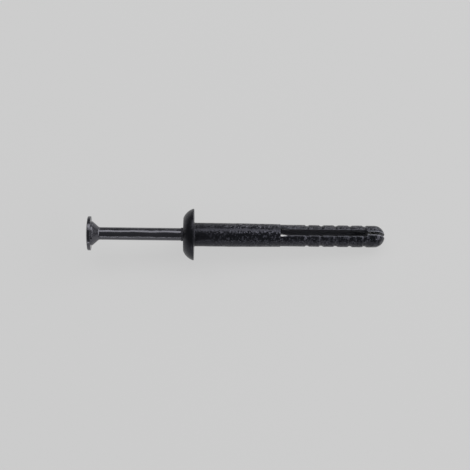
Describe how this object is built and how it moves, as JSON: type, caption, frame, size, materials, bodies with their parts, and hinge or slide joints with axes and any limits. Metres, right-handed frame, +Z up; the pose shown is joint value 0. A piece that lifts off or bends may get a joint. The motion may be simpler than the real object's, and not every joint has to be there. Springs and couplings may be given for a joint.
{
  "type": "hammer fixing plug",
  "caption": "Hammer fixing plug: a split, grooved plug with a domed flange, and a drive nail that stands out of it until a hammer sends it home.",
  "frame": {"origin": "centre of the flange's seating face, on the plug's axis", "axes": "+X towards the nose and level, +Z up, as the plug lies on its flange's rim and its nose; the plug's axis dips 4.8 degrees below +X"},
  "size_m": [0.0781, 0.0134, 0.0135],
  "materials": {
    "black_zinc": "satin black coat on a slightly sandy die casting",
    "black_steel": "smooth black-oxide steel, semi-gloss"
  },
  "bodies": {
    "plug": {"plug_body": "black_zinc"},
    "nail": {"drive_nail": "black_steel"}
  },
  "joints": [
    {"name": "nail_drive", "type": "slide", "parent": "plug", "child": "nail", "axis": [0.9966, 0, -0.0828], "range_m": [0, 0.0242]}
  ]
}
